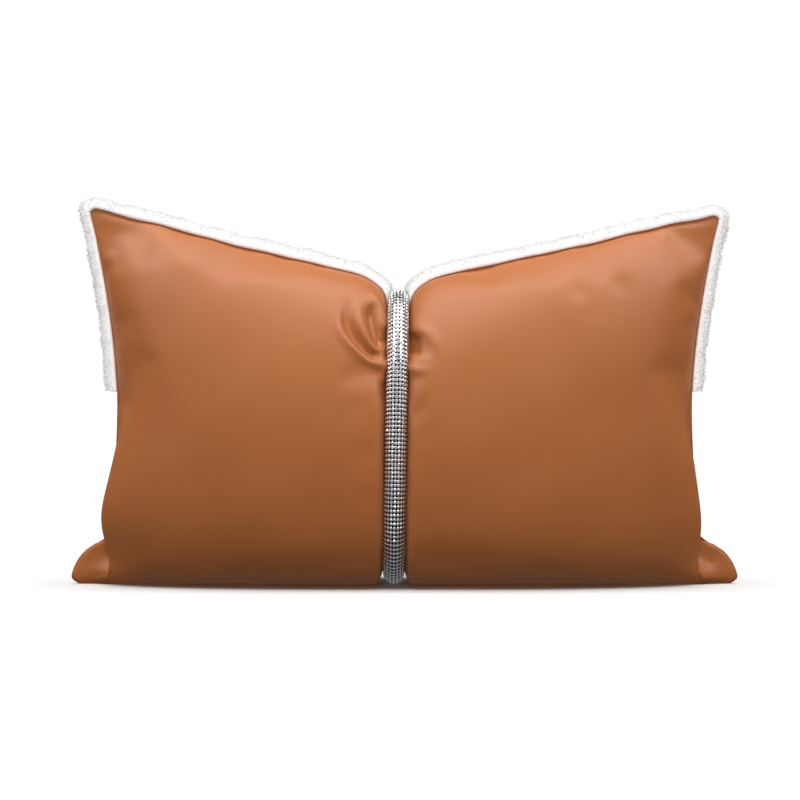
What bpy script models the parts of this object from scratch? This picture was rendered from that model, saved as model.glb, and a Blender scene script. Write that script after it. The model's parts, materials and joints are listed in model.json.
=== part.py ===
"""Lumbar throw pillow: a zipped cover with a leather front and a fur and leather back, its stuffed insert,
and a rope of crystal mesh that cinches it at the middle.

+X runs along the pillow's length, -Y is its leather front and +Z is up. The origin is on the floor, under
the middle of the pillow, which stands on its long lower edge.
"""

import math

import bmesh
import bpy
import numpy as np

# Cover, seen from the front, in metres.
LOW_CORNER_SPAN = 0.500  # from tip to tip of the two lower corners
LOW_BODY_WIDTH = 0.448  # the stuffed body near the floor, between the lower corners
WAIST_WIDTH = 0.433  # the narrowest width between the side seams
TOP_CORNER_SPAN = 0.473
CORNER_HEIGHT = 0.280  # the upper corners above the floor
SADDLE_HEIGHT = 0.2265  # the top seam at the middle, without the notch
WAIST_HEIGHT = 0.146
LOW_CORNER_RISE = 0.036  # how far a lower corner's free flap reaches up the side
CORNER_ROUNDING = 0.005

# Cover, seen from the side.
FRONT_DEPTH = 0.060  # from the seam plane to the fullest point
BACK_DEPTH = 0.0597
BELLY_SHARE = 0.38  # height of the fullest point, as a share of the height there
FLOOR_FLAT = 0.0024  # how much the weight flattens the base
SEAM_PUFF = 0.0030  # thickness of one side just inside the seam, and of the corners' flaps

# Cloth and slack.
LEATHER = 0.0012
FUR_PILE = 0.0080  # how far the pile stands out of its backing
FUR_PRESSED = 0.0030  # the pile under the rope
FUR_OFF_ROPE = 0.0035  # the pile beside the rope
FUR_PRESS_REACH = 1.35  # width of the pressed pile, as a share of the groove's
FUR_LIFT = 0.0240  # height over which the rope rises onto the pile, just below the zip
GAP = 0.0003  # between pieces that touch
INSERT_SLACK = 0.0038  # between the cover and the insert
INSERT_CLOTH = 0.0005
FIBRE_SLACK = 0.0015  # between the insert's cloth and its filling

# Crystal rope.
ROPE_RADIUS = 0.0082
ROPE_SINK = 0.0155  # how far it presses into the front and back
ROPE_TOP = 0.2218  # its highest point
ROPE_X_LOW = -0.0083  # it leans a little, from here at the floor
ROPE_X_HIGH = -0.0045  # to here at the top
CRYSTAL_LAYER = 0.0010
MESH_LAYER = 0.0011
CUFF_LENGTH = 0.024
SQUARE_END = 0.0015
CUFF_HEIGHT = 0.060  # of the join above the floor, at the back
GROOVE_ROOM = 0.0033  # how far the cover's groove reaches past the rope, each side
GROOVE_HALF_WIDTH = ROPE_RADIUS + GROOVE_ROOM
NOTCH_DEPTH = 0.0215
NOTCH_REACH = 0.015

# Zip between the two back panels.
ZIP_HEIGHT = 0.144
ZIP_LENGTH = 0.260  # of the teeth
ZIP_SINK = 0.0072  # how far the zip draws the back's surface in from its fullest point
ZIP_SURFACE = BACK_DEPTH - ZIP_SINK  # distance of the surface from the seam plane along the zip
ZIP_OPENING = 0.0084  # between the edges of the two panels
ZIP_BLEND = 0.034  # over which the back swells out again, past the zip
ZIP_TO_SIDE = 0.014  # between the end of that blend and the side seam
TAPE_WIDTH = 0.0116
TAPE_THICKNESS = 0.0005
TAPE_PAST_SLOT = 0.006  # at each end of the opening between the panels
TAPE_MARGIN = 0.003  # of the flat that the tapes are sewn to
PAST_TAPE = 0.0010  # from a tape's edge to the cloth's next grid line
SLOT_END = 0.010  # over which the opening closes
TEETH_RADIUS = 0.00095
TEETH_GAP = 0.0015
SLIDER_LENGTH = 0.0085
SLIDER_PLATE = 0.0012
SLIDER_SIDE = 0.0007
SLIDER_POST = 0.0010
BAIL_HEIGHT = 0.0030
BAIL_LENGTH = 0.0058
BAIL_THICKNESS = 0.0011
BAIL_WIDTH = 0.0014
PULL_LENGTH = 0.0260
PULL_WIDTH = 0.0062
PULL_THICKNESS = 0.0010
PULL_ARM = 0.0014  # width of each arm that holds the cross bar
PULL_JOIN = 0.0010  # how far an arm runs into the tab
STOP_LENGTH = 0.0025
STOP_BEVEL = 0.0003

# Care label, sewn to the lower tape inside the cover.
LABEL_WIDTH = 0.030
LABEL_LENGTH = 0.032
LABEL_THICKNESS = 0.0003
LABEL_X = -0.105

# Grid lines of the cloth. A column is a share of the half width, and a row a share of the way up.
# The insert's lines are some of the cover's, so that its flat facets lie inside the cover's.
COVER_COLUMNS = (0.17, 0.27, 0.38, 0.50, 0.61, 0.84, 0.91, 0.96, 1.0)
INSERT_COLUMNS = (0.27, 0.50, 0.84, 0.96, 1.0)
# Metres each side of the rope's middle: under it, at its edge, and where the groove's wall starts and ends.
ROPE_COLUMNS = (0.0, 0.55 * ROPE_RADIUS, ROPE_RADIUS + GAP, ROPE_RADIUS + 0.0043, ROPE_RADIUS + 0.0098)
PRESS_END = ROPE_RADIUS + 0.0218  # from the rope's middle to where its groove has quite gone
# The back's rows have one more, just past the zip's tape.
FRONT_ROWS = (0, 0.04, 0.08, 0.13, 0.19, 0.26, 0.35, 0.45, 0.55, 0.65, 0.75, 0.84, 0.91, 0.955, 0.985, 1)
BACK_ROWS = (0, 0.08, 0.17, 0.30, 0.46, 0.64, 0.82, 1)
INSERT_FRONT_ROWS = (0, 0.08, 0.19, 0.35, 0.55, 0.75, 0.91, 0.955, 0.985, 1)
INSERT_LOWER_ROWS = (0, 0.17, 0.46, 0.82, 1)
INSERT_UPPER_ROWS = (0, 0.17, 0.46, 1)

LOW_POWER = 2.8  # how square the section is below the fullest point
HIGH_POWER = 1.8  # and above it
ROPE_POWER = 2.1
SIDE_POWER = 3.0
SIDE_FULLNESS = 0.55

FRONT, BACK = -1, 1
DEPTH = {FRONT: FRONT_DEPTH, BACK: BACK_DEPTH}


def clear_scene():
    for obj in list(bpy.data.objects):
        bpy.data.objects.remove(obj)


def material(name, colour, roughness, metallic=0.0):
    made = bpy.data.materials.new(name)
    made.use_nodes = True
    shader = made.node_tree.nodes["Principled BSDF"]
    shader.inputs["Base Color"].default_value = (*colour, 1)
    shader.inputs["Roughness"].default_value = roughness
    shader.inputs["Metallic"].default_value = metallic
    return made


def smooth_step(low, high, value):
    share = np.clip((value - low) / (high - low), 0, 1)
    return share * share * (3 - 2 * share)


# ---------------------------------------------------------------- the pillow's shape


def body_half_width(z):
    """Half the stuffed body's width: narrow at the waist, wider towards the floor and the upper corners."""
    above = np.clip((z - WAIST_HEIGHT) / (CORNER_HEIGHT - WAIST_HEIGHT), 0, 1.1)
    below = smooth_step(0, 0.72, (WAIST_HEIGHT - z) / WAIST_HEIGHT)
    high = (TOP_CORNER_SPAN - WAIST_WIDTH) / 2 * above**1.6
    low = (LOW_BODY_WIDTH - WAIST_WIDTH) / 2 * below
    rounding = CORNER_ROUNDING * np.clip((z - CORNER_HEIGHT) / CORNER_ROUNDING + 1, 0, 1) ** 2
    return WAIST_WIDTH / 2 + high + low - rounding


def corner_flap(z):
    """How far a lower corner's free flap stands out of the body."""
    reach = (LOW_CORNER_SPAN - LOW_BODY_WIDTH) / 2
    rise = np.clip(z / LOW_CORNER_RISE, 0, 1)
    return reach * (1 - rise**2) ** 0.75


def slot_half():
    """Half the opening between the back panels, which leaves room for the pull tab to lie over either way."""
    return ZIP_LENGTH / 2 - SLIDER_LENGTH / 2 + PULL_LENGTH + 2 * GAP


def side_blend():
    """Length over which the back swells out past the ends of the tapes, before the side seam."""
    left = WAIST_WIDTH / 2 - slot_half() - TAPE_PAST_SLOT - TAPE_MARGIN
    return min(ZIP_BLEND, left - ZIP_TO_SIDE)


def rope_x(z):
    return ROPE_X_LOW + (ROPE_X_HIGH - ROPE_X_LOW) * z / ROPE_TOP


def top_seam(x):
    """Height of the top seam: up to the corners, and down into the rope's notch."""
    share = np.abs(x) / (TOP_CORNER_SPAN / 2)
    saddle = SADDLE_HEIGHT + (CORNER_HEIGHT - SADDLE_HEIGHT) * share**1.15
    beside = np.abs(x - rope_x(SADDLE_HEIGHT)) / NOTCH_REACH
    return saddle - NOTCH_DEPTH * np.exp(-(beside**1.5))


def section(t, high_power=HIGH_POWER):
    """(share of the height, share of the depth) of a point t of the way up the pillow's section."""
    angle = math.pi * (t - 0.5)
    sine, cosine = np.abs(np.sin(angle)), np.clip(np.cos(angle), 0, 1)
    low = BELLY_SHARE * (1 - sine ** (2 / LOW_POWER))
    high = BELLY_SHARE + (1 - BELLY_SHARE) * sine ** (2 / high_power)
    below = t < 0.5
    rise = np.where(below, low, high)
    swell = np.where(below, cosine ** (2 / LOW_POWER), cosine ** (2 / high_power))
    return rise, swell


def rope_line(side, t):
    """(y, z) of the rope's middle, t of the way up the front or the back, and the direction out of it."""

    def place(share):
        rise, swell = section(share, ROPE_POWER)
        depth = DEPTH[side] - ROPE_SINK + ROPE_RADIUS + GAP
        low, high = ROPE_RADIUS + GAP, ROPE_TOP - ROPE_RADIUS
        return np.stack([side * depth * swell, low + rise * (high - low)], -1)

    step = 1e-3
    here = place(t)
    along = place(np.clip(t + step, 0, 1)) - place(np.clip(t - step, 0, 1))
    along /= np.linalg.norm(along, axis=-1, keepdims=True)
    out = np.stack([along[..., 1], -along[..., 0]], -1) * side
    return here, out


def groove_floor(side, t, inset):
    """(y, z) of the cover's surface under the rope, which presses the pile of the upper back flat."""
    line, out = rope_line(side, t)
    proud = 0.0
    if side == BACK:
        full = ZIP_HEIGHT - ZIP_OPENING / 2
        proud = FUR_PRESSED * smooth_step(full - FUR_LIFT, full, line[..., 1])
    away = ROPE_RADIUS + GAP + proud + inset
    return line - out * np.asarray(away)[..., None]


def groove_share(x, z, half_width=GROOVE_HALF_WIDTH):
    return np.exp(-(((x - rope_x(z)) / half_width) ** 4))


def surface(side, s, t, inset=0.0, flaps=True):
    """Points of the cover's outer surface, s of the half width across and t of the way up.

    With an inset it is the shape of something that distance inside, which doesn't reach into the corners.
    """
    s, t = np.broadcast_arrays(np.asarray(s, float), np.asarray(t, float))
    rise, swell = section(t)
    edge = np.abs(s) ** 8
    climb = (1 - edge) * rise + edge * t
    nominal = climb * CORNER_HEIGHT
    half = body_half_width(nominal) - inset
    flap = corner_flap(nominal) if flaps else 0.0
    x = s * (half + flap)
    top = top_seam(x) - inset
    z = inset + climb * (top - inset)
    share = np.clip(np.abs(x) / half, 0, 1)
    fullness = (1 - share**SIDE_POWER) ** SIDE_FULLNESS
    depth = (DEPTH[side] - inset) * fullness * swell
    z = np.maximum(inset, z - FLOOR_FLAT * (1 - rise) ** 2 * (1 - edge))
    puff = (SEAM_PUFF - inset / 3) * (1 - np.abs(s) ** 30) * (1 - np.abs(2 * t - 1) ** 60)
    away = GAP / 2 + depth + puff
    if side == BACK:
        beside = np.abs(z - ZIP_HEIGHT) - TAPE_WIDTH - TAPE_MARGIN
        past = np.abs(x) - slot_half() - TAPE_PAST_SLOT - TAPE_MARGIN
        flat = (1 - smooth_step(0, ZIP_BLEND, beside)) * (1 - smooth_step(0, side_blend(), past))
        away = away + (ZIP_SURFACE - inset - away) * flat
    floor = groove_floor(side, t, inset)
    press = groove_share(x, z, GROOVE_HALF_WIDTH + inset)
    away = away + (np.minimum(side * floor[..., 0], away) - away) * press
    z = z + (floor[..., 1] - z) * press
    return np.stack([x, side * np.maximum(away, GAP / 2), z], -1)


def columns(body):
    """Shares of the half width, close together beside the rope, at the zip's ends and at the side seams."""
    half = WAIST_WIDTH / 2
    rope = {(rope_x(ZIP_HEIGHT) + way * step) / half for step in ROPE_COLUMNS for way in (-1, 1)}
    sides = {*body, slot_half() / half, (slot_half() + SLOT_END) / half}
    return np.array(sorted(rope | {way * share for share in sides for way in (-1, 1)}))


def slot_edge(way, x):
    """Height of a back panel's edge: it leaves the zip's teeth open, and meets the other panel past them."""
    past = smooth_step(slot_half(), slot_half() + SLOT_END, x)
    return ZIP_HEIGHT + way * (ZIP_OPENING / 2 * (1 - past) + GAP / 2 * past)


def back_rows(s, shares, way, past_tape=True):
    """Rows of the panel above (way 1) or below (way -1) the zip, as shares of the way up for each column."""
    fine = np.linspace(0, 1, 801)
    tape_end = ZIP_HEIGHT + way * (SLIDER_POST / 2 + GAP + TAPE_WIDTH + PAST_TAPE)
    share = np.array(shares)
    made = []
    for column in s:
        points = surface(BACK, column, fine)
        level = [slot_edge(way, abs(x)) for x in points[:, 0]]
        edge = np.interp(0, points[:, 2] - level, fine)
        rows = edge + (1 - edge) * (1 - share[::-1]) if way == 1 else edge * share
        if past_tape:
            rows = np.sort(np.append(rows, np.interp(tape_end, points[:, 2], fine)))
        made.append(rows)
    return np.array(made).T


# ---------------------------------------------------------------- cloth shells


def normals(grid, side):
    """Directions out of the pillow at each point of a grid of the surface."""
    across, up = np.gradient(grid, axis=1), np.gradient(grid, axis=0)
    out = np.cross(across, up) * -side
    return out / np.linalg.norm(out, axis=-1, keepdims=True)


def in_plane(grid, row, column, cut_row):
    """The direction out of the seam's outline, in the seam plane, at one point of a grid's border."""
    rows, cols = grid.shape[:2]
    if row == cut_row:
        return np.array([1.0 if column else -1.0, 0, 0])
    top, bottom = row == rows - 1, row == 0
    left, right = column == 0, column == cols - 1
    out = np.zeros(2)
    if top or bottom:
        a, b = grid[row, max(column - 1, 0)], grid[row, min(column + 1, cols - 1)]
        along = (b - a)[[0, 2]]
        out += np.array([-along[1], along[0]]) / np.linalg.norm(along) * (1 if top else -1)
    if left or right:
        a, b = grid[max(row - 1, 0), column], grid[min(row + 1, rows - 1), column]
        along = (b - a)[[0, 2]]
        out += np.array([along[1], -along[0]]) / np.linalg.norm(along) * (1 if right else -1)
    out /= np.linalg.norm(out)
    return np.array([out[0], 0, out[1]])


def on_seam(grid, row, column, cut_row):
    rows, cols = grid.shape[:2]
    return row != cut_row and row in (0, rows - 1) or column in (0, cols - 1)


def layer(grid, side, away, cut_row=None):
    """The grid moved out of the pillow by a distance, or into it. On the seam it moves in the seam plane."""
    away = np.broadcast_to(np.asarray(away, float), grid.shape[:2])
    out = normals(grid, side)
    if cut_row is not None:
        out[cut_row, :, 2] = 0
        out[cut_row] /= np.linalg.norm(out[cut_row], axis=-1, keepdims=True)
    made = grid + out * away[..., None]
    made[..., 1] = side * np.maximum(side * made[..., 1], GAP / 2)
    for row in range(grid.shape[0]):
        for column in range(grid.shape[1]):
            if on_seam(grid, row, column, cut_row) and away[row, column] != 0:
                out_of_seam = in_plane(grid, row, column, cut_row)
                made[row, column] = grid[row, column] + out_of_seam * away[row, column]
                made[row, column, 1] = side * GAP / 2
    made[..., 2] = np.maximum(made[..., 2], np.maximum(-away, 0))
    return made


def border(rows, cols):
    """Places of a grid's border points, in order round it."""
    bottom = [(0, c) for c in range(cols)]
    right = [(r, cols - 1) for r in range(1, rows)]
    top = [(rows - 1, c) for c in range(cols - 2, -1, -1)]
    left = [(r, 0) for r in range(rows - 2, 0, -1)]
    return bottom + right + top + left


def closed_mesh(name, nearer, farther, finish):
    """A solid between two grids of the same size, the first nearer the front, closed round their borders."""
    rows, cols = nearer.shape[:2]
    built = bmesh.new()
    near, far = (
        [[built.verts.new(grid[r, c]) for c in range(cols)] for r in range(rows)]
        for grid in (nearer, farther)
    )
    for r in range(rows - 1):
        for c in range(cols - 1):
            built.faces.new((near[r][c], near[r][c + 1], near[r + 1][c + 1], near[r + 1][c]))
            built.faces.new((far[r][c], far[r + 1][c], far[r + 1][c + 1], far[r][c + 1]))
    places = border(rows, cols)
    for (r, c), (r2, c2) in zip(places, places[1:] + places[:1]):
        built.faces.new((near[r][c], far[r][c], far[r2][c2], near[r2][c2]))
    return finished_object(name, built, finish)


def shell(name, outer, inner, side, finish):
    nearer, farther = (outer, inner) if side == FRONT else (inner, outer)
    return closed_mesh(name, nearer, farther, finish)


def finished_object(name, built, finish, smooth=True):
    mesh = bpy.data.meshes.new(name)
    built.to_mesh(mesh)
    built.free()
    if smooth:
        mesh.shade_smooth()
        mesh.set_sharp_from_angle(angle=math.radians(40))
    mesh.materials.append(finish)
    obj = bpy.data.objects.new(name, mesh)
    bpy.context.scene.collection.objects.link(obj)
    return obj


def clear_of_rope(grid, side):
    """Moves the pile's surface off the rope, along the line from the rope's middle."""
    t = np.linspace(0, 1, 241)
    middle, _ = rope_line(side, t)
    line = np.stack([rope_x(middle[:, 1]), middle[:, 0], middle[:, 1]], -1)
    least = ROPE_RADIUS + FUR_OFF_ROPE
    for place in np.ndindex(grid.shape[:2]):
        away = grid[place] - line
        distance = np.linalg.norm(away, axis=1)
        nearest = distance.argmin()
        if distance[nearest] < least:
            grid[place] = line[nearest] + away[nearest] / distance[nearest] * least
    return grid


def front_leather_panel(finish):
    outer = surface(FRONT, columns(COVER_COLUMNS)[None, :], np.array(FRONT_ROWS)[:, None])
    shell("front_leather_panel", outer, layer(outer, FRONT, -LEATHER), FRONT, finish)


def back_leather_panel(finish):
    s = columns(COVER_COLUMNS)
    outer = surface(BACK, s[None, :], back_rows(s, BACK_ROWS, -1))
    inner = layer(outer, BACK, -LEATHER, cut_row=len(BACK_ROWS))
    shell("back_leather_panel", outer, inner, BACK, finish)


def back_fur_panel(finish):
    s = columns(COVER_COLUMNS)
    base = surface(BACK, s[None, :], back_rows(s, BACK_ROWS, 1))
    pressed = groove_share(base[..., 0], base[..., 2], FUR_PRESS_REACH * GROOVE_HALF_WIDTH)
    pile = FUR_PILE + (FUR_PRESSED - FUR_PILE) * pressed
    outer = clear_of_rope(layer(base, BACK, pile, cut_row=0), BACK)
    shell("back_fur_panel", outer, layer(base, BACK, -LEATHER, cut_row=0), BACK, finish)


def insert(cloth, fibre):
    """The stuffed inner cushion: two cloth halves, sewn round the edge, and the fibre inside them."""
    s = columns(INSERT_COLUMNS)
    lower, upper = back_rows(s, INSERT_LOWER_ROWS, -1), back_rows(s, INSERT_UPPER_ROWS, 1, past_tape=False)
    rows = {FRONT: np.array(INSERT_FRONT_ROWS)[:, None], BACK: np.concatenate([lower, upper])}
    inset = LEATHER + INSERT_SLACK
    for side, name in ((FRONT, "insert_front_cloth"), (BACK, "insert_back_cloth")):
        outer = surface(side, s[None, :], rows[side], inset, flaps=False)
        shell(name, outer, layer(outer, side, -INSERT_CLOTH), side, cloth)
    core = inset + INSERT_CLOTH + FIBRE_SLACK
    front, back = (surface(side, s[None, :], rows[side], core, flaps=False) for side in (FRONT, BACK))
    closed_mesh("fibre_filling", front, back, fibre)


# ---------------------------------------------------------------- crystal rope


def rope_points(shares):
    """Points of the rope's middle. 0 is under the pillow, 1 is over its top, and 2 is under it again."""
    made = []
    for share in shares:
        side = FRONT if 0 <= share <= 1 else BACK
        (y, z), _ = rope_line(side, np.float64(2 - share if share > 1 else abs(share)))
        made.append((float(rope_x(z)), float(y), float(z)))
    return made


def back_share(height):
    """Where the rope's middle passes a height on its way down the back, counted as rope_points counts."""
    t = np.linspace(0, 0.5, 201)
    line, _ = rope_line(BACK, t)
    return 2 - float(np.interp(height, line[:, 1], t))


def swept(name, points, radius, finish, wall=None, resolution=2):
    """A round bar along points, or a tube with a wall of that thickness."""
    curve = bpy.data.curves.new(name, "CURVE")
    curve.dimensions = "3D"
    curve.bevel_depth = radius
    curve.bevel_resolution = resolution
    curve.use_fill_caps = wall is None
    spline = curve.splines.new("POLY")
    spline.points.add(len(points) - 1)
    for point, place in zip(spline.points, points):
        point.co = (*place, 1)
    spline.use_smooth = True
    curve.materials.append(finish)
    obj = bpy.data.objects.new(name, curve)
    bpy.context.scene.collection.objects.link(obj)
    if wall:
        solidify = obj.modifiers.new("wall", "SOLIDIFY")
        solidify.thickness = wall
        solidify.offset = -1
    return obj


def crystal_rope(cord, net, crystal, leather):
    """A cord in a sleeve of metal mesh, which holds the crystals. A leather cuff joins its two ends."""
    mesh_radius = ROPE_RADIUS - CRYSTAL_LAYER - GAP
    cord_radius = mesh_radius - MESH_LAYER - GAP
    half = CUFF_LENGTH / 2
    ends = (half, half + SQUARE_END)  # a short last stretch makes an end square to the rope
    sleeve_top, sleeve_in = (back_share(CUFF_HEIGHT + level) for level in ends)
    sleeve_low, sleeve_out = (back_share(CUFF_HEIGHT - level) - 2 for level in ends)
    sleeve = [sleeve_low, *np.linspace(sleeve_out, sleeve_in, 43), sleeve_top]
    higher, lower = back_share(CUFF_HEIGHT + GAP), back_share(CUFF_HEIGHT - GAP) - 2
    swept("rope_cord", rope_points([lower, *sleeve, higher]), cord_radius, cord)
    swept("rope_metal_mesh", rope_points(sleeve), mesh_radius, net, wall=MESH_LAYER)
    swept("rope_crystals", rope_points(sleeve), ROPE_RADIUS, crystal, wall=CRYSTAL_LAYER)
    end = half - 2 * GAP
    levels = (end, end - SQUARE_END, 0, SQUARE_END - end, -end)
    cuff = rope_points([back_share(CUFF_HEIGHT + level) for level in levels])
    swept("rope_join_cuff", cuff, ROPE_RADIUS, leather, wall=ROPE_RADIUS - mesh_radius)


# ---------------------------------------------------------------- zip


def zip_path(half, height, away):
    """Points along the back's surface at a height, a distance out of it, closer together under the rope."""
    middle = float(rope_x(ZIP_HEIGHT))
    dips = [middle + way * step for step in (*ROPE_COLUMNS[1:], PRESS_END) for way in (-1, 1)]
    across = np.linspace(-0.85, 0.85, 1401)
    up = np.linspace(0.3, 0.7, 81)
    line = []
    for s in across:
        points = surface(BACK, s, up)
        line.append([np.interp(height, points[:, 2], points[:, k]) for k in (0, 1)])
    line = np.array(line)
    slope = np.gradient(line[:, 1], line[:, 0])
    made = []
    for x in sorted([-half, -half / 2, middle, *dips, half / 2, half]):
        tilt = math.atan(np.interp(x, line[:, 0], slope))
        y = np.interp(x, line[:, 0], line[:, 1])
        made.append((x - math.sin(tilt) * away, y + math.cos(tilt) * away, height))
    return made


def zip_tape(name, low, high, inner, outer, finish):
    """A strip that follows the back's surface, between two heights and two distances out of it."""
    half = slot_half() + TAPE_PAST_SLOT
    corners = ((low, inner), (low, outer), (high, outer), (high, inner))
    paths = [zip_path(half, ZIP_HEIGHT + height, away) for height, away in corners]
    built = bmesh.new()
    rings = [[built.verts.new(point) for point in ring] for ring in zip(*paths)]
    for one, other in zip(rings, rings[1:]):
        for k in range(4):
            built.faces.new((one[k], one[(k + 1) % 4], other[(k + 1) % 4], other[k]))
    built.faces.new(rings[0])
    built.faces.new(rings[-1])
    bmesh.ops.recalc_face_normals(built, faces=built.faces)
    return finished_object(name, built, finish, smooth=False)


def box(name, low, high, finish, bevel=0.0):
    built = bmesh.new()
    bmesh.ops.create_cube(built, size=1)
    size = np.array(high) - np.array(low)
    middle = (np.array(high) + np.array(low)) / 2
    for vert in built.verts:
        vert.co = [vert.co[k] * size[k] + middle[k] for k in range(3)]
    obj = finished_object(name, built, finish, smooth=False)
    if bevel:
        modifier = obj.modifiers.new("edges", "BEVEL")
        modifier.width = bevel
        modifier.segments = 2
    return obj


def join_to(obj, helper):
    """Joins a hidden helper solid to an object."""
    helper.hide_render = True
    helper.display_type = "WIRE"
    union = obj.modifiers.new("join", "BOOLEAN")
    union.operation = "UNION"
    union.object = helper


def zip_levels():
    """Distances out of the back: the tape's outside, the teeth's middle, and the slider's two inner faces."""
    tape = -LEATHER - 2 * GAP
    teeth = tape + GAP + TEETH_RADIUS
    over = teeth + TEETH_RADIUS + 2 * GAP
    under = tape - TAPE_THICKNESS - GAP
    return tape, teeth, over, under


def slider_half_width():
    return TEETH_GAP / 2 + 2 * TEETH_RADIUS + GAP + SLIDER_SIDE


def zip_slider(x, metal):
    """Two plates that hold the tapes between them, joined by a post that runs between the rows of teeth."""
    _, teeth, over, under = zip_levels()
    half = slider_half_width()
    lip = teeth + TEETH_RADIUS / 2
    post = SLIDER_POST / 2
    upper_half = [
        (post, under), (half, under), (half, under - SLIDER_PLATE), (0, under - SLIDER_PLATE),
        (0, over + SLIDER_PLATE), (half, over + SLIDER_PLATE), (half, lip), (half - SLIDER_SIDE, lip),
        (half - SLIDER_SIDE, over), (post, over),
    ]
    lower_plate, upper_plate = upper_half[:3], upper_half[5:]
    outline = lower_plate + [(-h, d) for h, d in reversed(lower_plate)]
    outline += [(-h, d) for h, d in reversed(upper_plate)] + upper_plate
    built = bmesh.new()
    ring = []
    for h, d in outline:
        ring.append(built.verts.new((x - SLIDER_LENGTH / 2, ZIP_SURFACE + d, ZIP_HEIGHT + h)))
    face = built.faces.new(ring)
    made = bmesh.ops.extrude_face_region(built, geom=[face])
    moved = [v for v in made["geom"] if isinstance(v, bmesh.types.BMVert)]
    bmesh.ops.translate(built, verts=moved, vec=(SLIDER_LENGTH, 0, 0))
    bmesh.ops.recalc_face_normals(built, faces=built.faces)
    slider = finished_object("zip_slider", built, metal, smooth=False)
    plate = ZIP_SURFACE + over + SLIDER_PLATE
    feet = [(way * (BAIL_LENGTH - BAIL_THICKNESS) / 2) for way in (-1, 1)]
    for number, foot in enumerate(feet):
        helper = box(
            f"bail_foot_{number}",
            (x + foot - BAIL_THICKNESS / 2, plate - SLIDER_PLATE / 2, ZIP_HEIGHT - BAIL_WIDTH / 2),
            (x + foot + BAIL_THICKNESS / 2, plate + BAIL_HEIGHT, ZIP_HEIGHT + BAIL_WIDTH / 2),
            metal,
        )
        join_to(slider, helper)
    bridge = box(
        "bail_bridge",
        (x - BAIL_LENGTH / 2, plate + BAIL_HEIGHT - BAIL_THICKNESS, ZIP_HEIGHT - BAIL_WIDTH / 2),
        (x + BAIL_LENGTH / 2, plate + BAIL_HEIGHT, ZIP_HEIGHT + BAIL_WIDTH / 2),
        metal,
    )
    join_to(slider, bridge)
    return plate


def zip_pull_tab(x, plate, metal):
    """A tab on a cross bar under the slider's bail. It lies over the closed teeth and turns about the bar."""
    axis = plate + (BAIL_HEIGHT - BAIL_THICKNESS) / 2
    pivot = bpy.data.objects.new("pull_pivot", None)
    pivot.location = (x, axis, ZIP_HEIGHT)
    bpy.context.scene.collection.objects.link(pivot)
    half = PULL_WIDTH / 2
    thick = PULL_THICKNESS / 2
    eye = BAIL_LENGTH / 2 + 3 * GAP
    low, high = -thick, thick
    tab = box("zip_pull_tab", (-PULL_LENGTH, low, -half), (-eye, high, half), metal)
    parts = [
        box("pull_arm_low", (-eye - PULL_JOIN, low, -half), (thick, high, -half + PULL_ARM), metal),
        box("pull_arm_high", (-eye - PULL_JOIN, low, half - PULL_ARM), (thick, high, half), metal),
        box("pull_bar", (-thick, low, PULL_ARM / 2 - half), (thick, high, half - PULL_ARM / 2), metal),
    ]
    for part in parts:
        join_to(tab, part)
    for obj in [tab, *parts]:
        obj.parent = pivot


def zip_stop(name, x, low, high, metal):
    _, teeth, _, _ = zip_levels()
    near, far = teeth - TEETH_RADIUS, teeth + TEETH_RADIUS
    box(
        name,
        (x - STOP_LENGTH / 2, ZIP_SURFACE + near, ZIP_HEIGHT + low),
        (x + STOP_LENGTH / 2, ZIP_SURFACE + far, ZIP_HEIGHT + high),
        metal,
        bevel=STOP_BEVEL,
    )


def zip_fastener(tape_finish, teeth_finish, metal):
    tape, teeth, _, _ = zip_levels()
    half = ZIP_LENGTH / 2
    inner_edge = SLIDER_POST / 2 + GAP
    for way, word in ((1, "upper"), (-1, "lower")):
        low, high = sorted((way * inner_edge, way * (inner_edge + TAPE_WIDTH)))
        zip_tape(f"zip_tape_{word}", low, high, tape - TAPE_THICKNESS, tape, tape_finish)
        height = way * (TEETH_GAP / 2 + TEETH_RADIUS)
        teeth_path = zip_path(half, ZIP_HEIGHT + height, teeth)
        swept(f"zip_teeth_{word}", teeth_path, TEETH_RADIUS, teeth_finish, resolution=1)
        ends = sorted((height - way * TEETH_RADIUS, height + way * TEETH_RADIUS))
        zip_stop(f"zip_top_stop_{word}", half + GAP + STOP_LENGTH / 2, *ends, metal)
    reach = TEETH_GAP / 2 + 2 * TEETH_RADIUS
    zip_stop("zip_bottom_stop", -half - GAP - STOP_LENGTH / 2, -reach, reach, metal)
    x = half - SLIDER_LENGTH / 2
    zip_pull_tab(x, zip_slider(x, metal), metal)


def care_label(finish):
    """A strip of satin that hangs inside the back, with its upper end sewn behind the lower tape."""
    s = np.array([LABEL_X - LABEL_WIDTH / 2, LABEL_X, LABEL_X + LABEL_WIDTH / 2]) / (WAIST_WIDTH / 2)
    top = ZIP_HEIGHT - SLIDER_POST / 2 - GAP - TAPE_WIDTH / 2
    fine = np.linspace(0, 1, 401)
    heights = surface(BACK, s[1], fine)[:, 2]
    t = np.interp(np.linspace(top - LABEL_LENGTH, top, 5), heights, fine)
    patch = surface(BACK, s[None, :], t[:, None])
    near = LEATHER + 4 * GAP + TAPE_THICKNESS
    out = normals(patch, BACK)
    shell("care_label", patch - out * near, patch - out * (near + LABEL_THICKNESS), BACK, finish)


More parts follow.
